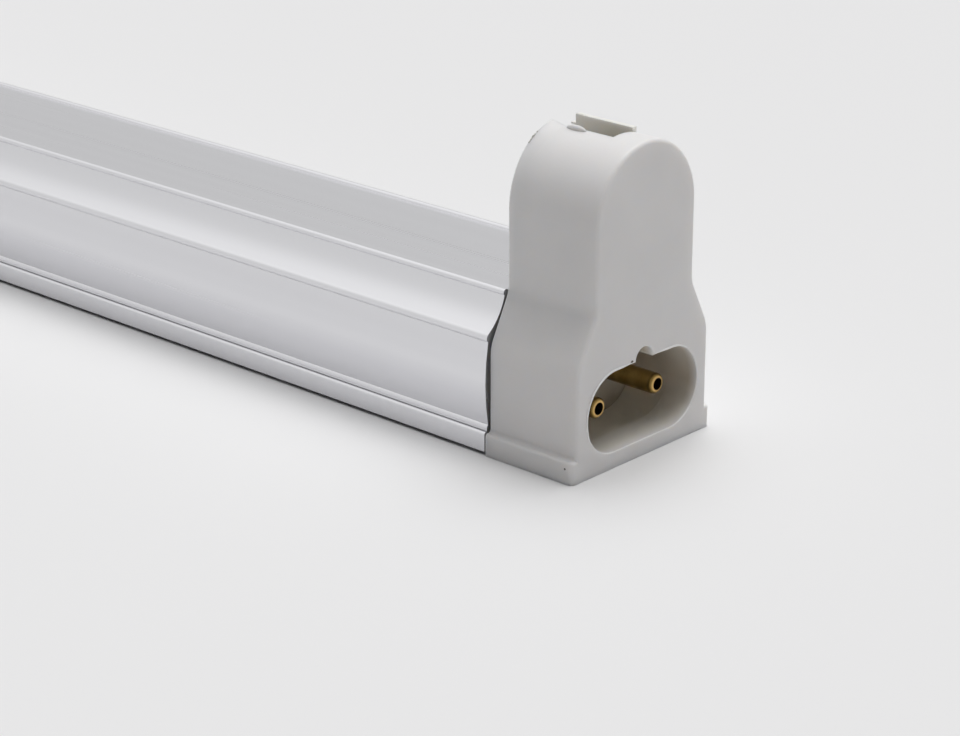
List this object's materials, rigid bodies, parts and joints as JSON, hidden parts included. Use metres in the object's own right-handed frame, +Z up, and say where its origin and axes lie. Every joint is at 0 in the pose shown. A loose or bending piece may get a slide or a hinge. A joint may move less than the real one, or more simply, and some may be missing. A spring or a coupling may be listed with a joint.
{
  "type": "t5 lamp batten holder",
  "caption": "Slim aluminium batten for a T5 tube, with a moulded cap at each end that holds a slotted lamp holder tower and a keyed inlet recess with brass pins.",
  "frame": {"origin": "middle of the length and width, on the plane of the caps' feet", "axes": "+X along the fixture towards the pictured end, +Y across, +Z up towards the lamp"},
  "size_m": [0.3124, 0.0222, 0.034],
  "materials": {
    "satin_aluminium": "satin extruded",
    "cap_plastic": "fine moulded texture",
    "rotor_plastic": "smooth moulded",
    "zinc_steel": "zinc plated",
    "pin_brass": "drawn, bright",
    "contact_bronze": "rolled strip",
    "wire_blue": "satin sleeve",
    "wire_brown": "satin sleeve",
    "wire_white": "satin sleeve",
    "wire_sleeve": "satin sleeve",
    "board_laminate": "paper laminate",
    "liner_film": "thin film",
    "fuse_sleeve": "sleeved glass",
    "black_epoxy": "moulded epoxy",
    "ferrite": "sintered",
    "enamelled_copper": "enamelled",
    "capacitor_sleeve": "shrunk sleeve",
    "glass_bead": "glazed",
    "resistor_body": "lacquered",
    "bobbin_plastic": "moulded",
    "film_capacitor_case": "dipped",
    "thermistor_coat": "dipped"
  },
  "bodies": {
    "fixture": {"profile": "satin_aluminium", "feed_end_cap": "cap_plastic", "feed_holder_plate": "cap_plastic", "feed_cap_screw": "zinc_steel", "feed_pin_a": "pin_brass", "feed_pin_b": "pin_brass", "feed_contact_a": "contact_bronze", "feed_contact_b": "contact_bronze", "feed_pin_wire_a": "wire_blue", "feed_pin_wire_b": "wire_brown", "feed_lamp_wire_a": "wire_white", "feed_lamp_wire_b": "wire_white", "link_end_cap": "cap_plastic", "link_holder_plate": "cap_plastic", "link_cap_screw": "zinc_steel", "link_pin_a": "pin_brass", "link_pin_b": "pin_brass", "link_contact_a": "contact_bronze", "link_contact_b": "contact_bronze", "link_pin_wire_a": "wire_blue", "link_pin_wire_b": "wire_brown", "link_lamp_wire_a": "wire_white", "link_lamp_wire_b": "wire_white", "circuit_board": "board_laminate", "insulating_liner": "liner_film", "fuse": "fuse_sleeve", "rectifier_diodes": "black_epoxy", "filter_choke_core": "ferrite", "filter_choke_winding": "enamelled_copper", "bulk_capacitor": "capacitor_sleeve", "driver_core": "ferrite", "driver_winding": "wire_sleeve", "transistors": "black_epoxy", "start_diac": "glass_bead", "resistors": "resistor_body", "lamp_choke_core": "ferrite", "lamp_choke_bobbin": "bobbin_plastic", "lamp_choke_winding": "enamelled_copper", "resonant_capacitor": "film_capacitor_case", "blocking_capacitor": "film_capacitor_case", "snubber_capacitor": "film_capacitor_case", "preheat_thermistor": "thermistor_coat"},
    "feed_rotor": {"feed_rotor": "rotor_plastic"},
    "link_rotor": {"link_rotor": "rotor_plastic"}
  },
  "joints": [
    {"name": "feed_rotor_turn", "type": "hinge", "parent": "fixture", "child": "feed_rotor", "pos_m": [0.1445, 0, 0.026], "axis": [1, 0, 0], "range_deg": [-90, 90]},
    {"name": "link_rotor_turn", "type": "hinge", "parent": "fixture", "child": "link_rotor", "pos_m": [-0.1445, 0, 0.026], "axis": [1, 0, 0], "range_deg": [-90, 90]}
  ]
}
